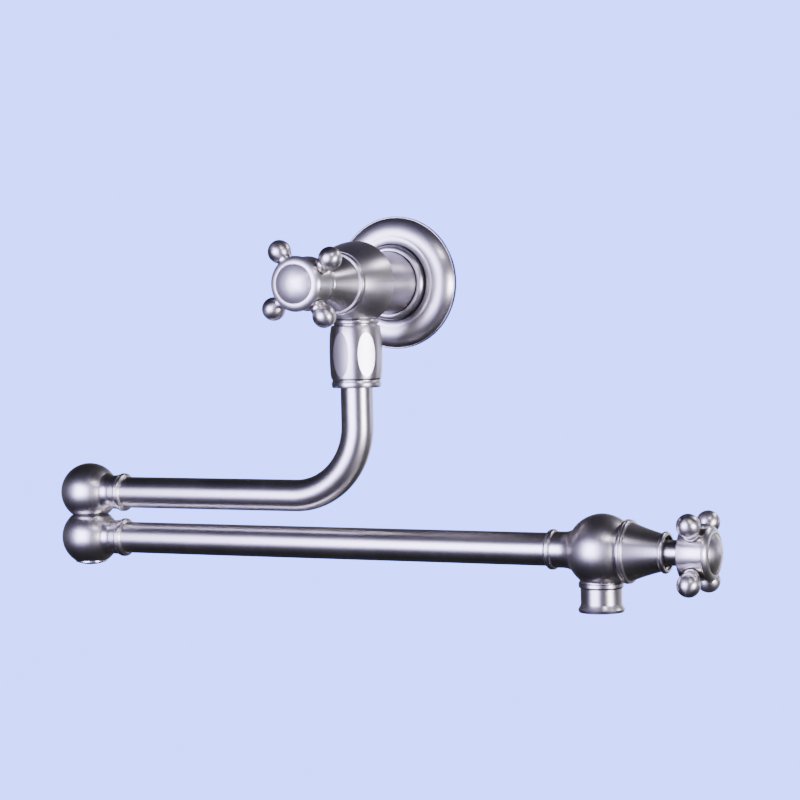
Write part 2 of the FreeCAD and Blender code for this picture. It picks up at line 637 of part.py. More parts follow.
TUBE_SOCKET = "(tube_radius + thread_gap)"
SOCKET_LIP = "(tube_radius + thread_gap + socket_lip)"
outlet_valve_body = turned("outlet_valve_body", outlet, [
    ("0", "-outlet_length"),
    (SOCKET_LIP, "-outlet_length"),
    *bead("outlet_neck_radius", "-outlet_bead_end - bead_length"),
    ("outlet_neck_radius", "-outlet_neck_at"),
    bow("-outlet_cove", "outlet_cove", "outlet_cove_radius", "-outlet_cove_at"),
    bow("outlet_back_swell", "-outlet_back_swell / 2", "outlet_globe_radius", "outlet_globe_at"),
    bow("outlet_front_swell", "outlet_front_swell / 3",
        "outlet_nose_radius", "outlet_seat - 2 * barrel_groove"),
    ("outlet_groove_radius", "outlet_seat - barrel_groove"),
    ("outlet_groove_radius", "outlet_seat"),
    ("spigot_radius", "outlet_seat"),
    ("spigot_radius", "outlet_seat + spigot_length"),
    ("0", "outlet_seat + spigot_length"),
])
finish_valve_body(outlet_valve_body, "0", "nozzle_seat", "nozzle_boss_radius", [
    ("0", "-outlet_length"),
    (TUBE_SOCKET, "-outlet_length"),
    (TUBE_SOCKET, "-outlet_length + socket_depth"),
    ("passage_radius", "-outlet_length + socket_depth"),
    ("passage_radius", "outlet_seat - cartridge_depth"),
    ("cavity_radius", "outlet_seat - cartridge_depth"),
    ("cavity_radius", "outlet_seat + spigot_length"),
    ("0", "outlet_seat + spigot_length"),
], "nozzle_thread_radius + thread_gap", "nozzle_thread_length", "outlet_globe_radius")


# Bonnet, ceramic cartridge and cross handle. Heights are measured along the valve from the bonnet's seat.

FLANGE_TOP = "(spigot_length + cartridge_flange)"
CARTRIDGE_END = "(-cartridge_depth + cartridge_tip)"
CARTRIDGE_RADIUS = "(cavity_radius - cartridge_gap)"
SEAL_TOP = "(seal_height - cartridge_depth)"
MOVING_DISC = "(seal_height - cartridge_depth + disc_thickness + running_gap)"
FOOT = "(seal_height - cartridge_depth + 2 * disc_thickness + running_gap)"
CLIP = "(cartridge_neck_top + running_gap)"


def bonnet(name, seat):
    """The cone that screws over the spigot and clamps the cartridge's flange."""
    turned(name, seat, [
        ("spigot_radius + thread_gap", "0"),
        ("bonnet_bead_radius", "0"),
        bow("bonnet_bead_rise", "0", "bonnet_bead_radius + bead_seam", "bonnet_bead_split - bead_seam / 2"),
        ("bonnet_bead_radius", "bonnet_bead_split"),
        ("bonnet_bead_radius + bead_seam", "bonnet_bead_split + bead_seam / 2"),
        bow("bonnet_bead_rise / 2", "0", "bonnet_bead_radius", "bonnet_bead_end"),
        ("bonnet_cone_radius", "bonnet_cone_start"),
        bow("-bonnet_hollow", "0", "bonnet_neck_radius", "bonnet_neck_at"),
        bow("bonnet_lip_rise", "0", "bonnet_neck_radius", "bonnet_length"),
        ("bonnet_mouth_radius", "bonnet_length"),
        ("bonnet_mouth_radius", "bonnet_length - bonnet_mouth_depth"),
        ("bonnet_bore_radius", "bonnet_length - bonnet_mouth_depth"),
        ("bonnet_bore_radius", FLANGE_TOP),
        ("spigot_radius + thread_gap", FLANGE_TOP),
    ])


def cartridge(prefix, seat):
    """The brass body, its O-ring, the fixed disc and the seat seal."""
    body = turned(prefix + "_cartridge_body", seat, [
        ("chamber_radius", CARTRIDGE_END),
        (CARTRIDGE_RADIUS, CARTRIDGE_END),
        *ring_groove(CARTRIDGE_RADIUS, "cavity_radius", "oring_section", "-oring_level"),
        (CARTRIDGE_RADIUS, "spigot_length"),
        ("cartridge_flange_radius", "spigot_length"),
        ("cartridge_flange_radius", FLANGE_TOP),
        ("cartridge_neck_radius", FLANGE_TOP),
        ("cartridge_neck_radius", "cartridge_neck_top"),
        ("spindle_radius + running_gap", "cartridge_neck_top"),
        ("spindle_radius + running_gap", "-chamber_roof"),
        ("chamber_radius", "-chamber_roof"),
    ])
    windows = new_sketch(body, "windows", "XZ_Plane")
    draw(windows, rectangle("-window_width / 2", "window_width / 2",
                            "-chamber_roof - window_height", "-chamber_roof"))
    extrude(body, "Pocket", windows)
    o_rings(prefix + "_cartridge_oring", seat, "cavity_radius", "oring_section", ["-oring_level"])
    turned(prefix + "_seat_seal", seat, ring("seal_radius", "disc_radius", "-cartridge_depth", SEAL_TOP))
    ceramic_disc(prefix + "_fixed_disc", seat.along(SEAL_TOP))


def ceramic_disc(name, frame):
    """A ceramic disc with two quarter openings."""
    body = turned(name, frame, ring("0", "disc_radius", "0", "disc_thickness"))
    port = new_sketch(body, "port", "XY_Plane")
    along = "cos(port_angle * 1deg / 2)"
    across = "sin(port_angle * 1deg / 2)"
    draw(port, [
        (f"port_radius * {along}", f"-port_radius * {across}"),
        through("port_radius", "0", f"port_radius * {along}", f"port_radius * {across}"),
        (f"port_web_radius * {along}", f"port_web_radius * {across}"),
        through("port_web_radius", "0", f"port_web_radius * {along}", f"-port_web_radius * {across}"),
    ])
    repeat(body, extrude(body, "Pocket", port), "disc_ports")
    return body


def cross_handle(name, seat, angle):
    """The hub with its square socket, four spokes with balls, the screw and the domed cap."""
    seat = seat.turned(Z_AXIS, value(angle))
    hub = turned(name + "_hub", seat, [
        ("0", "handle_neck_start"),
        ("handle_neck_radius", "handle_neck_start"),
        ("handle_neck_radius", "hub_start"),
        ("hub_radius - hub_round", "hub_start"),
        bow("hub_round / 5", "-hub_round / 5", "hub_radius", "hub_start + hub_round"),
        bow("-hub_waist", "0", "hub_front_radius", "hub_start + hub_length"),
        ("bezel_radius - bezel_edge / 3", "bezel_at - bezel_edge"),
        bow("bezel_edge / 3", "0", "bezel_radius - bezel_edge / 3", "bezel_at + bezel_edge"),
        bow("bezel_bulge", "bezel_bulge", "cap_radius + cap_groove", "bezel_face"),
        ("0", "bezel_face"),
    ])
    revolve(hub, "Groove", "recess", [
        ("0", "bezel_face"),
        ("cap_radius + cap_groove", "bezel_face"),
        ("cap_radius + cap_groove", "bezel_face - cap_groove_depth"),
        ("cap_skirt_radius + thread_gap", "bezel_face - cap_groove_depth"),
        ("cap_skirt_radius + thread_gap", "hub_pocket_floor"),
        ("screw_head_radius + screw_head_gap", "hub_pocket_floor"),
        ("screw_head_radius + screw_head_gap", "screw_seat"),
        ("screw_shank_radius + screw_head_gap", "screw_seat"),
        ("screw_shank_radius + screw_head_gap", "handle_neck_start"),
        ("0", "handle_neck_start"),
    ])
    socket = new_sketch(hub, "socket", "XY_Plane", "handle_neck_start")
    reach = "(drive_side + running_gap)"
    draw(socket, rectangle("-" + reach, reach, "-" + reach, reach))
    extrude(hub, "Pocket", socket, "spindle_top + running_gap - handle_neck_start", backwards=True)
    for cut, level, radius in (("spot", "-spoke_seat", "spoke_cup_foot + spoke_seat_gap"),
                               ("stud", "-(spoke_seat - stud_length)", "stud_radius + thread_gap")):
        hole = drill(hub, cut, "XZ_Plane", level, "0", "ball_plane", radius, "stud_length")
        repeat(hub, hole, "spokes")


def domed(radius, base, rise):
    """Middle point of the arc from (radius, base) up to the top of a dome on the axis."""
    sphere = f"((({radius})^2 + ({rise})^2) / (2 * ({rise})))"
    return f"({radius}) / 2", f"({base}) + ({rise}) - {sphere} + sqrt({sphere}^2 - ({radius})^2 / 4)"


def handle_trim(name, seat):
    """The domed cap pushed into the hub, and the screw behind it."""
    inside = "(cap_skirt_radius - cap_wall)"
    turned(name + "_cap", seat, [
        ("cap_skirt_radius", "bezel_face - cap_groove_depth - cap_skirt_length"),
        ("cap_skirt_radius", "bezel_face - cap_groove_depth"),
        ("cap_radius", "bezel_face - cap_groove_depth"),
        ("cap_radius", "bezel_face"),
        through(*domed("cap_radius", "bezel_face", "cap_rise"), "0", "bezel_face + cap_rise"),
        ("0", "bezel_face + cap_rise - cap_wall"),
        through(*domed(inside, "bezel_face", "cap_rise - cap_wall"), inside, "bezel_face"),
        (inside, "bezel_face - cap_groove_depth - cap_skirt_length"),
    ])
    head = "screw_seat + screw_head_height"
    screw = turned(name + "_screw", seat, [
        ("0", "screw_seat - screw_length"),
        ("screw_shank_radius", "screw_seat - screw_length"),
        ("screw_shank_radius", "screw_seat"),
        ("screw_head_radius", "screw_seat"),
        ("screw_head_radius", head),
        ("0", head),
    ])
    key = new_sketch(screw, "key", "XY_Plane", head)
    draw(key, hexagon("screw_hex"))
    extrude(screw, "Pocket", key, "screw_hex_depth")


def spoke(name, frame):
    """A turned spoke with its ball. Heights are measured from the handle's axis outwards."""
    rim = "(spoke_cup_radius - spoke_cup_seam)"
    cup_top = "spoke_seat + spoke_cup_height"
    turned(name, frame, [
        ("0", "spoke_seat - stud_length"),
        ("stud_radius", "spoke_seat - stud_length"),
        ("stud_radius", "spoke_seat"),
        ("spoke_cup_foot", "spoke_seat"),
        bow("spoke_cup_swell", "-spoke_cup_swell / 2", "spoke_cup_radius", cup_top),
        (rim, cup_top),
        (rim, f"ball_pitch - sqrt(ball_radius^2 - {rim}^2)"),
        through("ball_radius", "ball_pitch", "0", "ball_pitch + ball_radius"),
    ])


def spindle(prefix, seat):
    """The spindle with its square drive and driving tongue, its two O-rings, its clip and the moving disc."""
    bore = "(spindle_radius + running_gap)"
    levels = ["spindle_ring_low", "spindle_ring_high"]
    body = turned(prefix + "_spindle", seat, [
        ("0", FOOT),
        ("spindle_foot_radius", FOOT),
        ("spindle_foot_radius", "-chamber_roof - running_gap"),
        ("spindle_radius", "-chamber_roof - running_gap"),
        *ring_groove("spindle_radius", bore, "spindle_ring_section", levels[0]),
        *ring_groove("spindle_radius", bore, "spindle_ring_section", levels[1]),
        ("spindle_radius", CLIP),
        ("clip_groove_radius", CLIP),
        ("clip_groove_radius", CLIP + " + clip_thickness + running_gap"),
        ("spindle_radius", CLIP + " + clip_thickness + running_gap"),
        ("spindle_radius", "spindle_top"),
        ("spindle_tap_radius", "spindle_top"),
        ("spindle_tap_radius", "spindle_top - spindle_tap_depth"),
        ("0", "spindle_top - spindle_tap_depth"),
    ])
    drive = new_sketch(body, "drive", "XY_Plane", "spindle_top")
    draw_circle(drive, "0", "0", "spindle_radius + clip_thickness")
    draw(drive, rectangle("-drive_side", "drive_side", "-drive_side", "drive_side"))
    extrude(body, "Pocket", drive, "spindle_top - drive_start")
    dog = new_sketch(body, "dog", "XY_Plane", FOOT)
    reach = "sqrt(spindle_foot_radius^2 - dog_width^2)"
    draw(dog, rectangle("-" + reach, reach, "-dog_width / 2", "dog_width / 2"))
    extrude(body, "Pad", dog, "dog_depth", backwards=True)
    o_rings(prefix + "_spindle_orings", seat, bore, "spindle_ring_section", levels)
    clip = ring("clip_groove_radius + running_gap", "clip_radius", CLIP, CLIP + " + clip_thickness")
    turned(prefix + "_spindle_clip", seat, clip, "clip_angle")

    disc = ceramic_disc(prefix + "_moving_disc", seat.along(MOVING_DISC).turned(Z_AXIS, 90))
    slot = new_sketch(disc, "slot", "XY_Plane", "disc_thickness")
    width = "(dog_width / 2 + running_gap)"
    draw(slot, rectangle("-" + width, width, "-disc_radius", "disc_radius"))
    extrude(disc, "Pocket", slot, "dog_depth + running_gap")


for prefix, handle, frame, seat_at, angle in (
        ("wall", "wall_handle", wall, WALL_SEAT, "wall_handle_angle"),
        ("outlet", "outlet_handle", outlet, "outlet_seat", "outlet_handle_angle")):
    seat = frame.along(seat_at)
    bonnet(prefix + "_bonnet", seat)
    cartridge(prefix, seat)
    spindle(prefix, seat.turned(Z_AXIS, value(angle)))
    cross_handle(handle, seat, angle)
    handle_trim(handle, seat)
    for number in range(round(value("spokes"))):
        share = value(angle) + 360 * number / value("spokes")
        ball_plane = seat.along("ball_plane").turned(Z_AXIS, share).turned(Y_AXIS, 90)
        spoke(f"{handle}_spoke_{number + 1}", ball_plane)


# Wall swivel: a nipple screwed into the body, the nut that hangs on it, and the arm's spigot between
# two slip washers inside. Heights are measured downwards from the valve's axis.

FLANGE_FOOT = "(nut_shelf - slip_washer - running_gap)"
FLANGE_HEAD = "(nut_shelf - slip_washer - running_gap - spigot_flange)"
NIPPLE_END = "(nut_shelf - 2 * slip_washer - 2 * running_gap - spigot_flange)"
COLLAR_END = "(swivel_seat + collar_height)"
SPIGOT = "(swivel_bore_radius - running_gap)"
TUBE_BORE = "(tube_radius - tube_wall)"

turned("swivel_nipple", swivel, [
    ("passage_radius", "swivel_seat - nipple_depth"),
    ("nipple_thread_radius", "swivel_seat - nipple_depth"),
    ("nipple_thread_radius", "swivel_seat"),
    ("collar_radius - collar_seam", "swivel_seat"),
    ("collar_radius - collar_seam", "swivel_seat + collar_seam"),
    ("collar_radius", "swivel_seat + collar_seam"),
    bow("collar_rise", "0", "collar_radius", COLLAR_END + " - collar_seam"),
    ("collar_radius - collar_seam", COLLAR_END + " - collar_seam"),
    ("collar_radius - collar_seam", COLLAR_END),
    ("nipple_radius", COLLAR_END),
    ("nipple_radius", NIPPLE_END),
    ("swivel_bore_radius", NIPPLE_END),
    ("swivel_bore_radius", "spigot_top - spigot_top_gap"),
    ("passage_radius", "spigot_top - spigot_top_gap"),
])

swivel_nut = turned("swivel_nut", swivel.turned(Z_AXIS, value("nut_angle")), [
    ("nipple_radius + thread_gap", COLLAR_END),
    ("nut_top_radius - nut_edge", COLLAR_END),
    ("nut_top_radius", COLLAR_END + " + nut_edge"),
    bow("nut_swell", "0", "nut_foot_radius", "nut_barrel_end"),
    ("nut_groove_radius", "nut_barrel_end + nut_edge"),
    ("nut_groove_radius", "nut_barrel_end + nut_groove"),
    bow("nut_bead_rise", "0", "nut_groove_radius", "nut_end"),
    ("tube_radius + running_gap", "nut_end"),
    ("tube_radius + running_gap", "nut_shelf"),
    ("nipple_radius + thread_gap", "nut_shelf"),
])
flats = new_sketch(swivel_nut, "flats", "XY_Plane")
draw_circle(flats, "0", "0", "nut_flat * 2")
draw(flats, hexagon("nut_flat"))
extrude(swivel_nut, "Pocket", flats)

turned("swivel_spigot", swivel, [
    ("spigot_bore_radius", "spigot_top"),
    (SPIGOT, "spigot_top"),
    *ring_groove(SPIGOT, "swivel_bore_radius", "swivel_ring_section", "swivel_ring_high"),
    *ring_groove(SPIGOT, "swivel_bore_radius", "swivel_ring_section", "swivel_ring_low"),
    (SPIGOT, FLANGE_HEAD),
    ("spigot_flange_radius", FLANGE_HEAD),
    ("spigot_flange_radius", FLANGE_FOOT),
    (TUBE_BORE + " - thread_gap", FLANGE_FOOT),
    (TUBE_BORE + " - thread_gap", FLANGE_FOOT + " + spigot_tail"),
    ("spigot_bore_radius", FLANGE_FOOT + " + spigot_tail"),
])
o_rings("swivel_orings", swivel, "swivel_bore_radius", "swivel_ring_section",
        ["swivel_ring_high", "swivel_ring_low"])


def washer(name, inner, outer, low, height):
    """A flat washer as the difference of two cylinders."""
    disc = document.addObject("Part::Cylinder", name + "_disc")
    hole = document.addObject("Part::Cylinder", name + "_hole")
    for cylinder, radius in ((disc, outer), (hole, inner)):
        cylinder.setExpression("Radius", linked(radius))
        cylinder.setExpression("Height", linked(height))
        cylinder.setExpression("Placement.Base.z", linked(low))
    cut = document.addObject("Part::Cut", name)
    cut.Base = disc
    cut.Tool = hole
    return cut


slip_washers = document.addObject("Part::Compound", "swivel_washers")
slip_washers.Links = [
    washer("swivel_washer_high", SPIGOT + " + 2 * running_gap", "spigot_flange_radius",
           FLANGE_HEAD + " - slip_washer", "slip_washer"),
    washer("swivel_washer_low", "tube_radius + 2 * running_gap", "spigot_flange_radius",
           FLANGE_FOOT, "slip_washer"),
]
node(slip_washers, "swivel_washers", swivel)


# Upper arm: one bent tube from the spigot to the upper ball's socket

SOCKET_FLOOR = "(joint_socket_end - socket_depth)"

upper_arm_tube = document.addObject("PartDesign::Body", "upper_arm_tube")
section = new_sketch(upper_arm_tube, "section", "XY_Plane", "-" + FLANGE_FOOT)
draw_circle(section, "0", "0", "tube_radius")
draw_circle(section, "0", "0", TUBE_BORE)
centre_line = new_sketch(upper_arm_tube, "centre_line", "XZ_Plane")
draw(centre_line, [
    ("0", "bend_radius - upper_drop"),
    through("bend_radius * (sqrt(0.5) - 1)", "bend_radius * (1 - sqrt(0.5)) - upper_drop",
            "-bend_radius", "-upper_drop"),
    (SOCKET_FLOOR + " - upper_reach", "-upper_drop"),
], start_at=("0", "-" + FLANGE_FOOT))
bent_tube = upper_arm_tube.newObject("PartDesign::AdditivePipe", "bent_tube")
bent_tube.Profile = section
bent_tube.Spine = (centre_line, [])
node(upper_arm_tube, "upper_arm_tube", elbow)


# Arm joint: two balls with necks, and the hollow bolt that holds the lower one. Each ball's own frame has
# its neck along X and its mating face at the bottom, so the lower ball stands upside down.

def joint_ball(name, frame, crown, bore):
    """A ball cut flat at the mating face, with the neck and socket of its arm."""
    body = document.addObject("PartDesign::Body", name)
    flat_radius = f"sqrt(joint_radius^2 - {JOINT_FLAT}^2)"
    cove_radius = "sqrt(joint_radius^2 - joint_cove_start^2)"
    revolve(body, "Revolution", "ball", [
        ("0", "-" + JOINT_FLAT),
        (flat_radius, "-" + JOINT_FLAT),
        *crown,
    ])
    revolve(body, "Revolution", "neck", [
        ("joint_chamber_radius / 2", "0"),
        ("joint_chamber_radius / 2", cove_radius),
        ("joint_cove_start", cove_radius),
        bow("-joint_cove", "-joint_cove", "joint_neck_at", "joint_neck_radius"),
        *swapped(bead("joint_neck_radius", "joint_bead_start")),
        ("joint_socket_end", SOCKET_LIP),
        ("joint_socket_end", "0"),
    ], axis="H_Axis")
    revolve(body, "Groove", "socket", [
        ("0", "0"),
        ("0", "passage_radius"),
        (SOCKET_FLOOR, "passage_radius"),
        (SOCKET_FLOOR, TUBE_SOCKET),
        ("joint_socket_end", TUBE_SOCKET),
        ("joint_socket_end", "0"),
    ], axis="H_Axis")
    revolve(body, "Groove", "bore", bore)
    return node(body, name, frame)


CAP_FLAT = "sqrt(joint_radius^2 - joint_cap_level^2)"
joint_ball("upper_joint_ball", upper_ball, [
    through("joint_radius", "0", "0", "joint_radius"),
], [
    ("0", "-" + JOINT_FLAT),
    ("bolt_thread_radius + thread_gap", "-" + JOINT_FLAT),
    ("bolt_thread_radius + thread_gap", "-joint_chamber_half"),
    ("joint_chamber_radius", "-joint_chamber_half"),
    ("joint_chamber_radius", "joint_chamber_half"),
    ("0", "joint_chamber_half"),
])
joint_ball("lower_joint_ball", lower_ball, [
    through("joint_radius", "0", CAP_FLAT, "joint_cap_level"),
    ("0", "joint_cap_level"),
], [
    ("0", "-" + JOINT_FLAT),
    ("bolt_radius + running_gap", "-" + JOINT_FLAT),
    ("bolt_radius + running_gap", "-joint_chamber_half"),
    ("joint_chamber_radius", "-joint_chamber_half"),
    ("joint_chamber_radius", "joint_chamber_half"),
    ("bolt_radius + running_gap", "joint_chamber_half"),
    ("bolt_radius + running_gap", "bolt_shelf"),
    ("counterbore_radius", "bolt_shelf"),
    ("counterbore_radius", "joint_cap_level"),
    ("0", "joint_cap_level"),
])

BOLT_BORE = "(bolt_radius + running_gap)"
BOLT_SHOULDER = "(arm_spacing - " + JOINT_FLAT + ")"
BOLT_TOP = "(arm_spacing - joint_chamber_half)"
BOLT_HEAD = "(bolt_shelf + spring_washer + running_gap)"
joint_bolt = turned("joint_bolt", lower_ball, [
    ("bolt_bore_radius", "-" + BOLT_TOP),
    ("bolt_thread_radius", "-" + BOLT_TOP),
    ("bolt_thread_radius", "-" + BOLT_SHOULDER),
    ("bolt_radius", "-" + BOLT_SHOULDER),
    *ring_groove("bolt_radius", BOLT_BORE, "bolt_ring_section", "-bolt_ring_high"),
    *ring_groove("bolt_radius", BOLT_BORE, "bolt_ring_section", "bolt_ring_low"),
    ("bolt_radius", BOLT_HEAD),
    ("bolt_head_radius", BOLT_HEAD),
    ("bolt_head_radius", BOLT_HEAD + " + bolt_head_height"),
    ("0", BOLT_HEAD + " + bolt_head_height"),
    ("0", "joint_chamber_half"),
    ("bolt_bore_radius", "joint_chamber_half"),
])
for name, role in (("port_across", "XZ_Plane"), ("port_along", "YZ_Plane")):
    cross_hole = new_sketch(joint_bolt, name, role)
    draw_circle(cross_hole, "0", "0", "bolt_port_radius")
    extrude(joint_bolt, "Pocket", cross_hole)

o_rings("joint_orings", lower_ball, BOLT_BORE, "bolt_ring_section", ["-bolt_ring_high", "bolt_ring_low"])
node(washer("joint_washer", "bolt_radius + running_gap", "joint_washer_radius", "0", "joint_washer"),
     "joint_washer", lower_ball.along("-" + BOLT_SHOULDER))
node(washer("joint_spring_washer", "bolt_radius + running_gap", "bolt_head_radius", "0", "spring_washer"),
     "joint_spring_washer", lower_ball.along("bolt_shelf + running_gap"))
turned("joint_cap", lower_ball, [
    ("0", "joint_cap_level - joint_cap_plug"),
    ("counterbore_radius - joint_cap_gap", "joint_cap_level - joint_cap_plug"),
    ("counterbore_radius - joint_cap_gap", "joint_cap_level"),
    ("joint_cap_radius", "joint_cap_level"),
    ("joint_cap_radius", "joint_cap_level + joint_cap_edge"),
    through(*domed("joint_cap_radius", "joint_cap_level + joint_cap_edge", "joint_cap_rise"),
            "0", "joint_cap_level + joint_cap_edge + joint_cap_rise"),
])


# Lower arm: a straight tube between the lower ball's socket and the outlet valve's

turned("lower_arm_tube", lower_arm,
       ring(TUBE_BORE, "tube_radius", SOCKET_FLOOR, "lower_reach - outlet_length + socket_depth"))


# Nozzle: screwed up into the outlet valve, with its washer and flow insert. Heights run downwards.

turned("outlet_nozzle", nozzle, [
    ("passage_radius", "nozzle_seat - nozzle_thread_length"),
    ("nozzle_thread_radius", "nozzle_seat - nozzle_thread_length"),
    ("nozzle_thread_radius", "nozzle_seat"),
    ("nozzle_collar_radius", "nozzle_seat"),
    ("nozzle_collar_radius", "nozzle_seat + nozzle_collar_height"),
    ("nozzle_radius", "nozzle_seat + nozzle_collar_height + nozzle_collar_radius - nozzle_radius"),
    ("nozzle_radius", "nozzle_flare_at"),
    bow("0", "nozzle_flare", "nozzle_flare_radius", "nozzle_flare_widest"),
    ("nozzle_mouth_radius", "nozzle_end"),
    ("insert_radius", "nozzle_end"),
    ("insert_radius", "nozzle_shelf"),
    ("passage_radius", "nozzle_shelf"),
])
turned("nozzle_washer", nozzle, ring("passage_radius", "insert_radius - thread_gap", "nozzle_shelf",
                                     "nozzle_shelf + nozzle_washer"))
INSERT = "(nozzle_shelf + nozzle_washer)"
INSERT_OUTSIDE = "(insert_radius - thread_gap)"
flow_insert = turned("flow_insert", nozzle, [
    ("0", INSERT + " + insert_height - insert_floor"),
    (INSERT_OUTSIDE + " - insert_wall", INSERT + " + insert_height - insert_floor"),
    (INSERT_OUTSIDE + " - insert_wall", INSERT),
    (INSERT_OUTSIDE, INSERT),
    (INSERT_OUTSIDE, INSERT + " + insert_height"),
    ("0", INSERT + " + insert_height"),
])
hole = new_sketch(flow_insert, "hole", "XY_Plane")
draw_circle(hole, "insert_hole_circle", "0", "insert_hole_radius")
repeat(flow_insert, extrude(flow_insert, "Pocket", hole), "insert_holes")


# Check every object, then write each node

document.recompute()
for item in document.Objects:
    if "Invalid" in item.State or "Error" in item.State:
        raise RuntimeError(f"{item.Name} failed: {item.State}")
os.makedirs("parts", exist_ok=True)
for piece in nodes:
    if piece.Shape.isNull() or not piece.Shape.isValid():
        raise RuntimeError(f"{piece.Label} has no valid shape")
    piece.Shape.exportStep(f"parts/{piece.Label}.step")
    print(f"{piece.Label:28s}{len(piece.Shape.Solids):3d} solid(s){piece.Shape.Volume:12.1f} mm3")
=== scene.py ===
import math

import bpy
from mathutils import Matrix, Vector

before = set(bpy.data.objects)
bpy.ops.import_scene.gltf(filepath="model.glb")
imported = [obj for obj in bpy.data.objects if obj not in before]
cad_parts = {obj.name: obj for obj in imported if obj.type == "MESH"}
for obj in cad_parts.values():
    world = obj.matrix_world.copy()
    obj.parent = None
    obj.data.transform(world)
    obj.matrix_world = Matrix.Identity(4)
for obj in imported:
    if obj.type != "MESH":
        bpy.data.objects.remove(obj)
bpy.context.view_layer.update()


# Wall flange: a domed rose of spun brass, satin nickel plated and brushed in the lathe. The clamp ring
# screws it against the wall on the valve body's shank, and a foam ring behind its rim seals it.

WALL_AXIS = (0, 0, 0)
OUT_OF_WALL = (0, -1, 0)


class Finish:
    """A material under construction. Each call adds a node and sets or joins its inputs."""

    def __init__(self, name):
        self.material = bpy.data.materials.new(name)
        self.material.use_nodes = True
        self.tree = self.material.node_tree
        self.shader = self.tree.nodes["Principled BSDF"]

    def add(self, kind, inputs=None, **settings):
        made = self.tree.nodes.new("ShaderNode" + kind)
        for setting, value in settings.items():
            setattr(made, setting, value)
        for socket, value in (inputs or {}).items():
            self.join(made.inputs[socket], value)
        return made

    def join(self, socket, value):
        if isinstance(value, bpy.types.NodeSocket):
            self.tree.links.new(value, socket)
        else:
            socket.default_value = value

    def paint(self, **inputs):
        """Set the shader's own inputs, named with underscores for spaces."""
        for socket, value in inputs.items():
            self.join(self.shader.inputs[socket.replace("_", " ").title()], value)

    def maths(self, operation, *inputs):
        return self.add("Math", dict(enumerate(inputs)), operation=operation).outputs[0]

    def vector(self, operation, *inputs, output=0):
        return self.add("VectorMath", dict(enumerate(inputs)), operation=operation).outputs[output]

    def spread(self, value, low, high):
        """A value between 0.3 and 0.7 spread over a new range."""
        inputs = {"Value": value, "From Min": 0.3, "From Max": 0.7, "To Min": low, "To Max": high}
        return self.add("MapRange", inputs).outputs["Result"]

    def place(self, centre=(0, 0, 0), direction=(0, 0, 1)):
        """Coordinates in metres on the piece's own axis."""
        turn = Vector(direction).to_track_quat("Z", "Y").to_euler()
        inputs = {"Vector": self.add("TexCoord").outputs["Object"], "Location": centre, "Rotation": turn}
        return self.add("Mapping", inputs, vector_type="TEXTURE").outputs["Vector"]

    def noise(self, vector, scale, detail=3.0, roughness=0.55):
        inputs = {"Vector": vector, "Scale": scale, "Detail": detail, "Roughness": roughness}
        return self.add("TexNoise", inputs).outputs["Fac"]

    def band(self, quantity, middle, half, depth=1.0, fade=0.0003):
        """A depth where a quantity lies in a band, fading to 0 beside it."""
        off = self.maths("ABSOLUTE", self.maths("SUBTRACT", quantity, middle))
        inputs = {"Value": off, "From Min": half + fade, "From Max": half, "To Max": depth}
        return self.add("MapRange", inputs).outputs["Result"]

    def dress(self, *names):
        """Put the finished material on CAD nodes."""
        for name in names:
            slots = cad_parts[name].data.materials
            slots.clear()
            slots.append(self.material)


NICKEL_SHADE = (0.665, 0.63, 0.6, 1)
NICKEL_LIGHT = (0.71, 0.675, 0.645, 1)
PAINTED_CORNER_SHADE = (0.04, 0.04, 0.04, 1)
FULL_PAINTED_SHADE = 0.9  # from this depth the painted shade also turns the metal off
BRUSH_DEPTH = 0.000004
BRUSH_ACROSS = 2600.0  # grain per metre across the brush lines
BRUSH_ALONG = 55.0  # and along them
QUARTER_TURN = 0.25


def brushed(finish, lines, around, corners=(), bent=None, gloss=(0.28, 0.33), stretch=0.4):
    """Satin nickel plate under fine brush lines. Around is the way the brush ran, for the stretched gloss.
    Corners get painted shade: their colour is mixed towards black, and where it is deepest the metal is turned
    off."""
    fine = finish.noise(lines, 1.0, 4.0, 0.6)
    coarse = finish.noise(finish.vector("MULTIPLY", lines, (1, 1, 0.23)), 1.0, 2.0)
    cloud = finish.noise(finish.place(), 45.0, 2.0)
    grain = finish.maths("MULTIPLY_ADD", coarse, 0.5, fine)
    colour = finish.add("Mix", {"Factor": finish.spread(cloud, 0.0, 1.0), "A": NICKEL_SHADE,
                                "B": NICKEL_LIGHT}, data_type="RGBA").outputs["Result"]
    metal_outside_painted_shade = 1.0
    # Painted shade: each corner mixes the colour towards black, and turns the metal off where it is deepest.
    for corner in corners:
        shade = {"Factor": corner, "A": colour, "B": PAINTED_CORNER_SHADE}
        colour = finish.add("Mix", shade, data_type="RGBA").outputs["Result"]
        metal_outside_painted_shade = finish.maths("MULTIPLY", metal_outside_painted_shade, finish.maths("LESS_THAN", corner, FULL_PAINTED_SHADE))
    worn = finish.maths("MULTIPLY_ADD", cloud, 0.05, finish.spread(fine, *gloss))
    bump = finish.add("Bump", {"Height": grain, "Strength": 0.4, "Distance": BRUSH_DEPTH})
    if bent:
        finish.join(bump.inputs["Normal"], bent)
    tangent = finish.add("VectorTransform", {"Vector": around}, vector_type="VECTOR",
                         convert_from="OBJECT", convert_to="WORLD")
    finish.paint(base_color=colour, metallic=metal_outside_painted_shade, roughness=worn, normal=bump.outputs[0],
                 tangent=finish.vector("NORMALIZE", tangent.outputs[0]),
                 anisotropic=stretch, anisotropic_rotation=QUARTER_TURN)


FLAT_SOFTNESS = 0.35


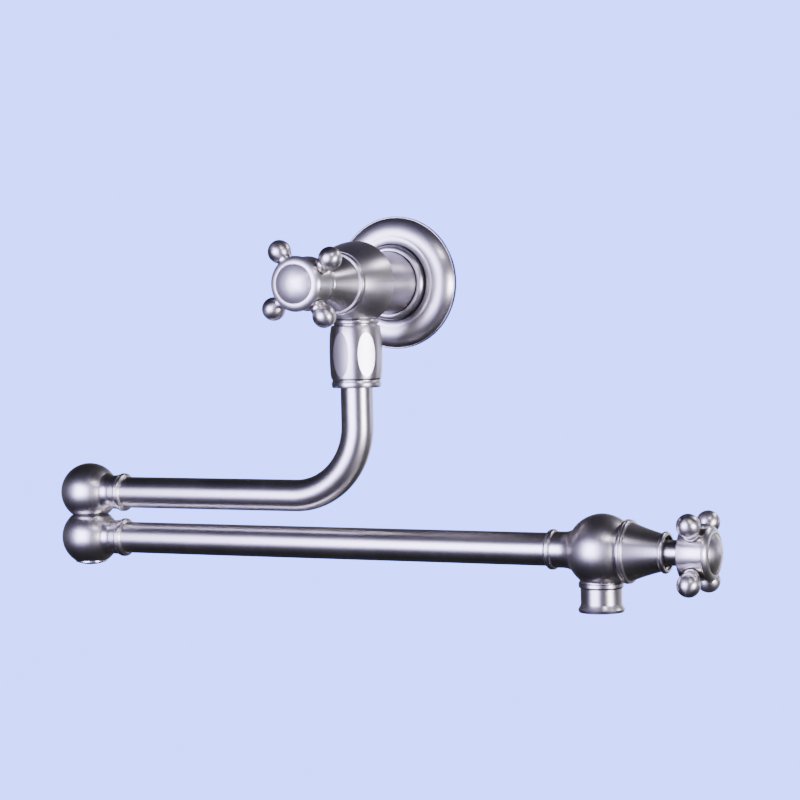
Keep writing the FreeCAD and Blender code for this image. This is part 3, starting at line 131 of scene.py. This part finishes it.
def turned_nickel(name, centre, direction, circles=(), levels=(), seam=None, flats=None, flatter=0.0,
                  **sheen):
    """Nickel on a piece that was brushed while it turned about its own axis. Circles and levels are its
    corners with painted shade, as radius or height with half a width and a depth. A seam is painted shade
    round a joint between two parts: centre, radius.
    Flats are heights between which flats were ground and then softened by the brush. A flatter sheen leans
    the shading towards the axis."""
    finish = Finish(name)
    place = finish.place(centre, direction)
    radius = finish.vector("LENGTH", finish.vector("MULTIPLY", place, (1, 1, 0)), output="Value")
    height = finish.add("SeparateXYZ", {"Vector": place}).outputs["Z"]
    level = finish.maths("MULTIPLY", finish.maths("MULTIPLY_ADD", radius, 0.8, height), BRUSH_ACROSS)
    slow = finish.vector("MULTIPLY", place, (BRUSH_ALONG, BRUSH_ALONG, 0))
    lines = finish.vector("ADD", slow, finish.add("CombineXYZ", {"Z": level}).outputs[0])
    spot = finish.vector("SUBTRACT", finish.add("TexCoord").outputs["Object"], centre)
    # Painted shade: bands of radius or height, and a round reach about a joint, where the colour is darkened.
    corners = [finish.band(radius, *circle) for circle in circles]
    corners += [finish.band(height, *line) for line in levels]
    if seam:
        middle, reach = seam
        off = finish.vector("SUBTRACT", finish.add("TexCoord").outputs["Object"], middle)
        corners.append(finish.band(finish.vector("LENGTH", off, output="Value"), 0.0, reach, fade=0.0016))
    lean = tuple(flatter * part for part in direction) if flatter else None
    if flats:
        low_end, high_end = flats
        outward = finish.vector("CROSS_PRODUCT", direction, finish.vector("CROSS_PRODUCT", spot, direction))
        outward = finish.add("VectorTransform", {"Vector": outward}, vector_type="VECTOR",
                             convert_from="OBJECT", convert_to="WORLD").outputs[0]
        outward = finish.vector("SCALE", finish.vector("NORMALIZE", outward))
        softened = finish.band(height, (low_end + high_end) / 2, (high_end - low_end) / 2, fade=0.001)
        finish.join(outward.node.inputs["Scale"], finish.maths("MULTIPLY", softened, FLAT_SOFTNESS))
        lean = outward
    bent = None
    if lean:
        normal = finish.add("NewGeometry").outputs["Normal"]
        bent = finish.vector("NORMALIZE", finish.vector("ADD", normal, lean))
    brushed(finish, lines, finish.vector("CROSS_PRODUCT", direction, spot), corners, bent, **sheen)
    return finish


def foam(name):
    """Dark closed-cell foam with small open pores."""
    finish = Finish(name)
    pores = finish.noise(finish.place(), 900.0)
    colour = finish.add("Mix", {"Factor": finish.spread(pores, 0, 1), "A": (0.02, 0.02, 0.022, 1),
                                "B": (0.07, 0.07, 0.075, 1)}, data_type="RGBA").outputs["Result"]
    bump = finish.add("Bump", {"Height": pores, "Strength": 0.8, "Distance": 0.0002}).outputs[0]
    finish.paint(base_color=colour, roughness=0.9, normal=bump)
    return finish


# Painted shade: dark bands in the flange's hole round the ring, a painted shadow on its outer rim where it
# meets the wall, and dark bands on the ring's side and lip.
FLANGE_HOLE = (0.0202, 0.0019)
FLANGE_RIM_PAINTED_SHADOW = (0.0382, 0.0007)
RING_OUTSIDE = (0.0216, 0.0004)
RING_LIP = (0.0178, 0.0003)
VALVE_SHEEN = {"gloss": (0.3, 0.35), "stretch": 0.6}
turned_nickel("nickel_on_the_flange", WALL_AXIS, OUT_OF_WALL, circles=(FLANGE_HOLE, FLANGE_RIM_PAINTED_SHADOW),
              gloss=(0.27, 0.32), stretch=0.5, flatter=0.2).dress("wall_flange")
turned_nickel("nickel_on_the_clamp_ring", WALL_AXIS, OUT_OF_WALL, circles=(RING_OUTSIDE, RING_LIP),
              **VALVE_SHEEN).dress("flange_ring")
foam("gasket_foam").dress("flange_gasket")


# Wall valve: a brass casting, machined and brushed round its long axis. Its shank goes through the flange and
# screws onto the pipe in the wall, and the cone in front is the bonnet that clamps the cartridge.

# Painted shade on the shank: dark where it enters the ring, and a partial darkening along it between the ring
# and the barrel.
SHANK_IN_THE_RING = (0.0096, 0.0017)
SHANK_PAINTED_SHADE = (0.0302, 0.0186, 0.32)
turned_nickel("nickel_on_the_wall_body", WALL_AXIS, OUT_OF_WALL, **VALVE_SHEEN,
              levels=(SHANK_IN_THE_RING, SHANK_PAINTED_SHADE)).dress("wall_valve_body")
wall_nickel = turned_nickel("nickel_round_the_wall_valve", WALL_AXIS, OUT_OF_WALL, **VALVE_SHEEN)
wall_nickel.dress("wall_bonnet")


# Wall swivel: a nipple with a small collar, and the nut with six almond-shaped flats that hangs on it. The
# arm's brass spigot turns inside between two plastic washers, and two O-rings keep the water in.

SWIVEL_AXIS = (0, -0.0525, 0)
DOWNWARDS = (0, 0, -1)


def machined_metal(name, colour, roughness):
    """Bare metal as it leaves the lathe."""
    finish = Finish(name)
    lines = finish.noise(finish.vector("MULTIPLY", finish.place(), (300, 300, 1500)), 1.0)
    bump = finish.add("Bump", {"Height": lines, "Strength": 0.4, "Distance": 0.00001}).outputs[0]
    tone = finish.add("HueSaturation", {"Color": (*colour, 1), "Value": finish.spread(lines, 0.92, 1.05)})
    finish.paint(base_color=tone.outputs[0], metallic=1.0, normal=bump,
                 roughness=finish.spread(lines, roughness - 0.05, roughness + 0.05))
    return finish


def moulded(name, colour, roughness, grain):
    """Plastic or rubber with a fine mould grain."""
    finish = Finish(name)
    skin = finish.noise(finish.place(), grain)
    bump = finish.add("Bump", {"Height": skin, "Strength": 0.3, "Distance": 0.00003}).outputs[0]
    tone = finish.add("HueSaturation", {"Color": (*colour, 1), "Value": finish.spread(skin, 0.93, 1.05)})
    finish.paint(base_color=tone.outputs[0], normal=bump,
                 roughness=finish.spread(skin, roughness - 0.04, roughness + 0.04))
    return finish


# Painted shade: thin dark lines on the nipple at two heights and on the nut at its bead, in the creases
# between parts.
NIPPLE_TOP = (0.0198, 0.0003)
NIPPLE_BOTTOM = (0.0236, 0.0003)
NUT_BEAD = (0.0533, 0.0003)
NUT_FLATS = (0.0255, 0.0518)
turned_nickel("nickel_on_the_nipple", SWIVEL_AXIS, DOWNWARDS,
              levels=(NIPPLE_TOP, NIPPLE_BOTTOM)).dress("swivel_nipple")
turned_nickel("nickel_on_the_nut", SWIVEL_AXIS, DOWNWARDS, levels=(NUT_BEAD,),
              flats=NUT_FLATS).dress("swivel_nut")
plain_brass = machined_metal("plain_brass", (0.72, 0.52, 0.24), 0.28)
plain_brass.dress("swivel_spigot")
black_rubber = moulded("black_rubber", (0.018, 0.018, 0.018), 0.55, 1400.0)
black_rubber.dress("swivel_orings")
dark_plastic = moulded("dark_plastic", (0.02, 0.02, 0.021), 0.45, 1800.0)
dark_plastic.dress("swivel_washers")


# Upper arm: one brass tube bent through a quarter turn, brushed round its own line like the turned pieces.

BEND_RADIUS = 0.04
BEND_CENTRE = (-BEND_RADIUS, 0, -0.0789)

tube_nickel = Finish("nickel_round_the_bent_tube")
spot = tube_nickel.vector("SUBTRACT", tube_nickel.add("TexCoord").outputs["Object"], BEND_CENTRE)
axes = tube_nickel.add("SeparateXYZ", {"Vector": spot})
right = tube_nickel.maths("MAXIMUM", axes.outputs["X"], 0.0)
below = tube_nickel.maths("MAXIMUM", tube_nickel.maths("MULTIPLY", axes.outputs["Z"], -1.0), 0.0)
turn_round = tube_nickel.maths("MULTIPLY", tube_nickel.maths("ARCTAN2", right, below), BEND_RADIUS)
left = tube_nickel.maths("MINIMUM", axes.outputs["X"], 0.0)
above = tube_nickel.maths("MAXIMUM", axes.outputs["Z"], 0.0)
along = tube_nickel.maths("ADD", tube_nickel.maths("ADD", left, turn_round), above)
depth = tube_nickel.add("SeparateXYZ", {"Vector": tube_nickel.place(SWIVEL_AXIS)}).outputs["Y"]
bow = tube_nickel.add("CombineXYZ", {"X": right, "Y": below}).outputs[0]
across = tube_nickel.maths("SUBTRACT", tube_nickel.vector("LENGTH", bow, output="Value"), BEND_RADIUS)
lines = tube_nickel.add("CombineXYZ", {"X": tube_nickel.maths("MULTIPLY", across, BRUSH_ALONG),
                                       "Y": tube_nickel.maths("MULTIPLY", depth, BRUSH_ALONG),
                                       "Z": tube_nickel.maths("MULTIPLY", along, BRUSH_ACROSS)}).outputs[0]
way = tube_nickel.add("CombineXYZ", {"X": below, "Z": right}).outputs[0]
outward = tube_nickel.add("NewGeometry").outputs["Normal"]
outward = tube_nickel.add("VectorTransform", {"Vector": outward}, vector_type="NORMAL",
                          convert_from="WORLD", convert_to="OBJECT").outputs[0]
brushed(tube_nickel, lines, tube_nickel.vector("CROSS_PRODUCT", way, outward))
tube_nickel.dress("upper_arm_tube")


# Arm joint: two brass balls with necks, soldered onto the arms. A hollow bolt holds the lower ball under the
# upper one, on a plastic washer and a spring washer, and the lens-shaped cap closes it from below.

UPPER_BALL = (-0.1787, -0.0525, -0.1189)
LOWER_BALL = (-0.1787, -0.0525, -0.1453)
ALONG_ARM = (1, 0, 0)
# Painted shade: both balls darken towards black within this reach of the joint's middle, where they meet on
# the washer.
JOINT_PAINTED_SHADE = ((-0.1787, -0.0525, -0.1321), 0.0108)

turned_nickel("nickel_on_the_upper_ball", UPPER_BALL, ALONG_ARM, seam=JOINT_PAINTED_SHADE).dress("upper_joint_ball")
turned_nickel("nickel_on_the_lower_ball", LOWER_BALL, ALONG_ARM, seam=JOINT_PAINTED_SHADE).dress("lower_joint_ball")
turned_nickel("nickel_round_the_joint", LOWER_BALL, DOWNWARDS).dress("joint_cap")
plain_brass.dress("joint_bolt")
black_rubber.dress("joint_orings")
dark_plastic.dress("joint_washer")
bright_steel = machined_metal("bright_steel", (0.6, 0.6, 0.61), 0.22)
bright_steel.dress("joint_spring_washer")


# Lower arm: a straight brass tube, soldered between the lower ball and the outlet valve's body.

# Painted shade: a thin dark line where the outlet bonnet meets the valve body.
BONNET_SEAM = (0.3372, 0.0003)
arm_nickel = turned_nickel("nickel_round_the_lower_arm", LOWER_BALL, ALONG_ARM, levels=(BONNET_SEAM,))
arm_nickel.dress("lower_arm_tube")


# Outlet valve: a globe-shaped casting on the end of the lower arm with the same bonnet in front. The nozzle
# screws into its underside and holds a rubber washer and the drilled insert that calms the water.

NOZZLE_AXIS = (0.1443, -0.0525, 0)
# Painted shade: thin dark lines at the nozzle's two joints.
NOZZLE_SEAMS = ((0.1621, 0.0003), (0.1646, 0.0002))

arm_nickel.dress("outlet_valve_body", "outlet_bonnet")
turned_nickel("nickel_on_the_nozzle", NOZZLE_AXIS, DOWNWARDS,
              levels=NOZZLE_SEAMS).dress("outlet_nozzle")
black_rubber.dress("nozzle_washer")
moulded("white_plastic", (0.78, 0.78, 0.75), 0.42, 1800.0).dress("flow_insert")


# Ceramic cartridges, one in each valve: a brass body with two polished discs, a rubber seat seal and O-rings,
# and the brass spindle that turns the moving disc, held by a steel clip.

ceramic = moulded("white_ceramic", (0.86, 0.85, 0.8), 0.12, 900.0)
for valve in ("wall", "outlet"):
    plain_brass.dress(valve + "_cartridge_body", valve + "_spindle")
    ceramic.dress(valve + "_fixed_disc", valve + "_moving_disc")
    black_rubber.dress(valve + "_seat_seal", valve + "_cartridge_oring", valve + "_spindle_orings")
    bright_steel.dress(valve + "_spindle_clip")


# Cross handles, one on each valve: a turned hub with four screwed-in spokes that end in balls, a domed cap
# pushed into its front, and the steel screw behind it.

BALL_PLANE = 0.0403
BALL_GLOSS = (0.3, 0.35)
# Painted shade: a thin dark line round each spoke's foot, where it meets the hub.
SPOKE_IN_THE_HUB = (0.0131, 0.0004)
HANDLES = {
    "wall_handle": (wall_nickel, Vector((0, -0.0729 - BALL_PLANE, 0)), Vector((0, -1, 0)),
                    Vector((1, 0, 0)), 37.0),
    "outlet_handle": (arm_nickel, Vector((0.1589 + BALL_PLANE, -0.0525, -0.1453)), Vector((1, 0, 0)),
                      Vector((0, 1, 0)), 43.3),
}
for handle, (nickel, centre, outwards, first, degrees) in HANDLES.items():
    nickel.dress(handle + "_hub", handle + "_cap")
    bright_steel.dress(handle + "_screw")
    for number in range(4):
        turn = Matrix.Rotation(math.radians(degrees + 90 * number), 3, outwards)
        spoke = turned_nickel(f"nickel_round_{handle}_spoke_{number + 1}", centre, turn @ first,
                              levels=(SPOKE_IN_THE_HUB,), gloss=BALL_GLOSS)
        spoke.dress(f"{handle}_spoke_{number + 1}")


# Pale floor well below the wall fitting. It melts into the pale surroundings with distance.

FLOOR_LEVEL = -0.62
FLOOR_SIZE = 24.0
MELT_START, MELT_END = 0.3, 1.6
PALE = (0.178, 0.243, 1.0)
PALE_STRENGTH = 6.5

bpy.ops.mesh.primitive_grid_add(x_subdivisions=8, y_subdivisions=8, size=FLOOR_SIZE,
                                location=(0, 0, FLOOR_LEVEL))
floor = bpy.context.active_object
floor.name = "floor"
floor.visible_glossy = False
floor.visible_diffuse = False
paper = Finish("pale_floor")
distance = paper.vector("LENGTH", paper.add("TexCoord").outputs["Object"], output="Value")
ends = {"Value": distance, "From Min": MELT_START, "From Max": MELT_END, "To Min": 0.8, "To Max": 1.0}
far = paper.add("MapRange", ends).outputs["Result"]
paper.paint(base_color=(0.72, 0.76, 0.9, 1), roughness=0.9)
glow = paper.add("Emission", {"Color": (*PALE, 1), "Strength": PALE_STRENGTH}).outputs[0]
blend = paper.add("MixShader", {0: far, 1: paper.shader.outputs[0], 2: glow})
paper.join(paper.tree.nodes["Material Output"].inputs["Surface"], blend.outputs[0])
floor.data.materials.append(paper.material)


# Studio light: a broad lavender soft box left of the camera, a smaller cool white one to the right, a strip
# high on the right, and a strip and a dim panel on the right beside the wall. The room is dark above, below
# and towards the camera and brighter near the wall. The camera sees only a plain pale tone.

AIM = Vector((0, -0.053, -0.07))
LAVENDER = (0.6, 0.565, 1.0)
COOL_WHITE = (0.82, 0.78, 1.0)


def soft_box(name, azimuth, elevation, distance, width, height, radiance, colour):
    """A rectangular light on a sphere round the object. Azimuth 0 is straight out of the wall, 90 is right."""
    lamp = bpy.data.lights.new(name, "AREA")
    lamp.shape = "RECTANGLE"
    lamp.size = width
    lamp.size_y = height
    lamp.energy = radiance * math.pi * width * height
    lamp.color = colour
    holder = bpy.data.objects.new(name, lamp)
    side, lift = math.radians(azimuth), math.radians(elevation)
    away = Vector((math.sin(side) * math.cos(lift), -math.cos(side) * math.cos(lift), math.sin(lift)))
    holder.location = AIM + away * distance
    holder.rotation_mode = "QUATERNION"
    holder.rotation_quaternion = away.to_track_quat("Z", "Y")
    holder.visible_camera = False
    bpy.context.scene.collection.objects.link(holder)


soft_box("left_soft_box", -11, 4, 1.5, 1.15, 1.0, 16.0, LAVENDER)
soft_box("left_soft_box_edge", -11, 3, 1.5, 1.5, 1.5, 2.0, LAVENDER)
soft_box("right_soft_box", 74, -2, 1.5, 0.55, 0.42, 38.0, COOL_WHITE)
soft_box("top_lamp", 50, 37, 1.4, 0.3, 0.1, 40.0, COOL_WHITE)
soft_box("back_lamp", 138, 34, 1.4, 0.5, 0.1, 34.0, COOL_WHITE)
soft_box("back_panel", 140, -1, 1.4, 0.5, 0.22, 3.5, LAVENDER)

world = bpy.data.worlds.new("studio")
bpy.context.scene.world = world
world.use_nodes = True
tree = world.node_tree
room = tree.nodes["Background"]
split = tree.nodes.new("ShaderNodeSeparateXYZ")
tree.links.new(tree.nodes.new("ShaderNodeTexCoord").outputs["Generated"], split.inputs[0])


def tones(source, steps):
    """Grey tones along one direction, from -1 to 1."""
    span = tree.nodes.new("ShaderNodeMapRange")
    span.inputs["From Min"].default_value = -1.0
    tree.links.new(split.outputs[source], span.inputs["Value"])
    ramp = tree.nodes.new("ShaderNodeValToRGB")
    tree.links.new(span.outputs["Result"], ramp.inputs["Fac"])
    elements = ramp.color_ramp.elements
    while len(elements) < len(steps):
        elements.new(0.5)
    for element, (place, red, green, blue) in zip(elements, steps):
        element.position = (place + 1) / 2
        element.color = (red, green, blue, 1)
    return ramp.outputs["Color"]


shade = tones("Y", ((-1.0, 0.03, 0.03, 0.03), (0.0, 0.06, 0.06, 0.06), (0.5, 0.12, 0.12, 0.12),
                    (0.93, 0.3, 0.3, 0.32), (0.98, 2.2, 2.2, 2.3)))
for source, steps in (
    ("Z", ((-0.6, 0.25, 0.25, 0.24), (-0.2, 0.9, 0.9, 0.9), (0.2, 1.0, 1.0, 1.0), (0.6, 0.15, 0.15, 0.15))),
    ("X", ((-0.6, 0.6, 0.6, 0.6), (0.3, 1.0, 1.0, 1.0))),
):
    product = tree.nodes.new("ShaderNodeVectorMath")
    product.operation = "MULTIPLY"
    tree.links.new(shade, product.inputs[0])
    tree.links.new(tones(source, steps), product.inputs[1])
    shade = product.outputs[0]
tree.links.new(shade, room.inputs["Color"])
behind = tree.nodes.new("ShaderNodeBackground")
behind.inputs["Color"].default_value = (*PALE, 1)
behind.inputs["Strength"].default_value = PALE_STRENGTH
choice = tree.nodes.new("ShaderNodeMixShader")
tree.links.new(tree.nodes.new("ShaderNodeLightPath").outputs["Is Camera Ray"], choice.inputs[0])
tree.links.new(room.outputs[0], choice.inputs[1])
tree.links.new(behind.outputs[0], choice.inputs[2])
tree.links.new(choice.outputs[0], tree.nodes["World Output"].inputs["Surface"])


# Camera: level with the wall valve, to the right of it, as the photograph was taken.

YAW, PITCH, ROLL = 26.5866, 2.4111, 1.2162
VIEWPOINT = (0.64607, -1.289884, -0.006695)
lens = bpy.data.cameras.new("camera")
lens.sensor_width = 36.0
lens.lens = 112.955
camera = bpy.data.objects.new("camera", lens)
aim = Matrix.Rotation(math.radians(YAW), 4, "Z") @ Matrix.Rotation(math.radians(90 - PITCH), 4, "X")
camera.matrix_world = Matrix.Translation(VIEWPOINT) @ aim @ Matrix.Rotation(math.radians(-ROLL), 4, "Z")
bpy.context.scene.collection.objects.link(camera)
bpy.context.scene.camera = camera
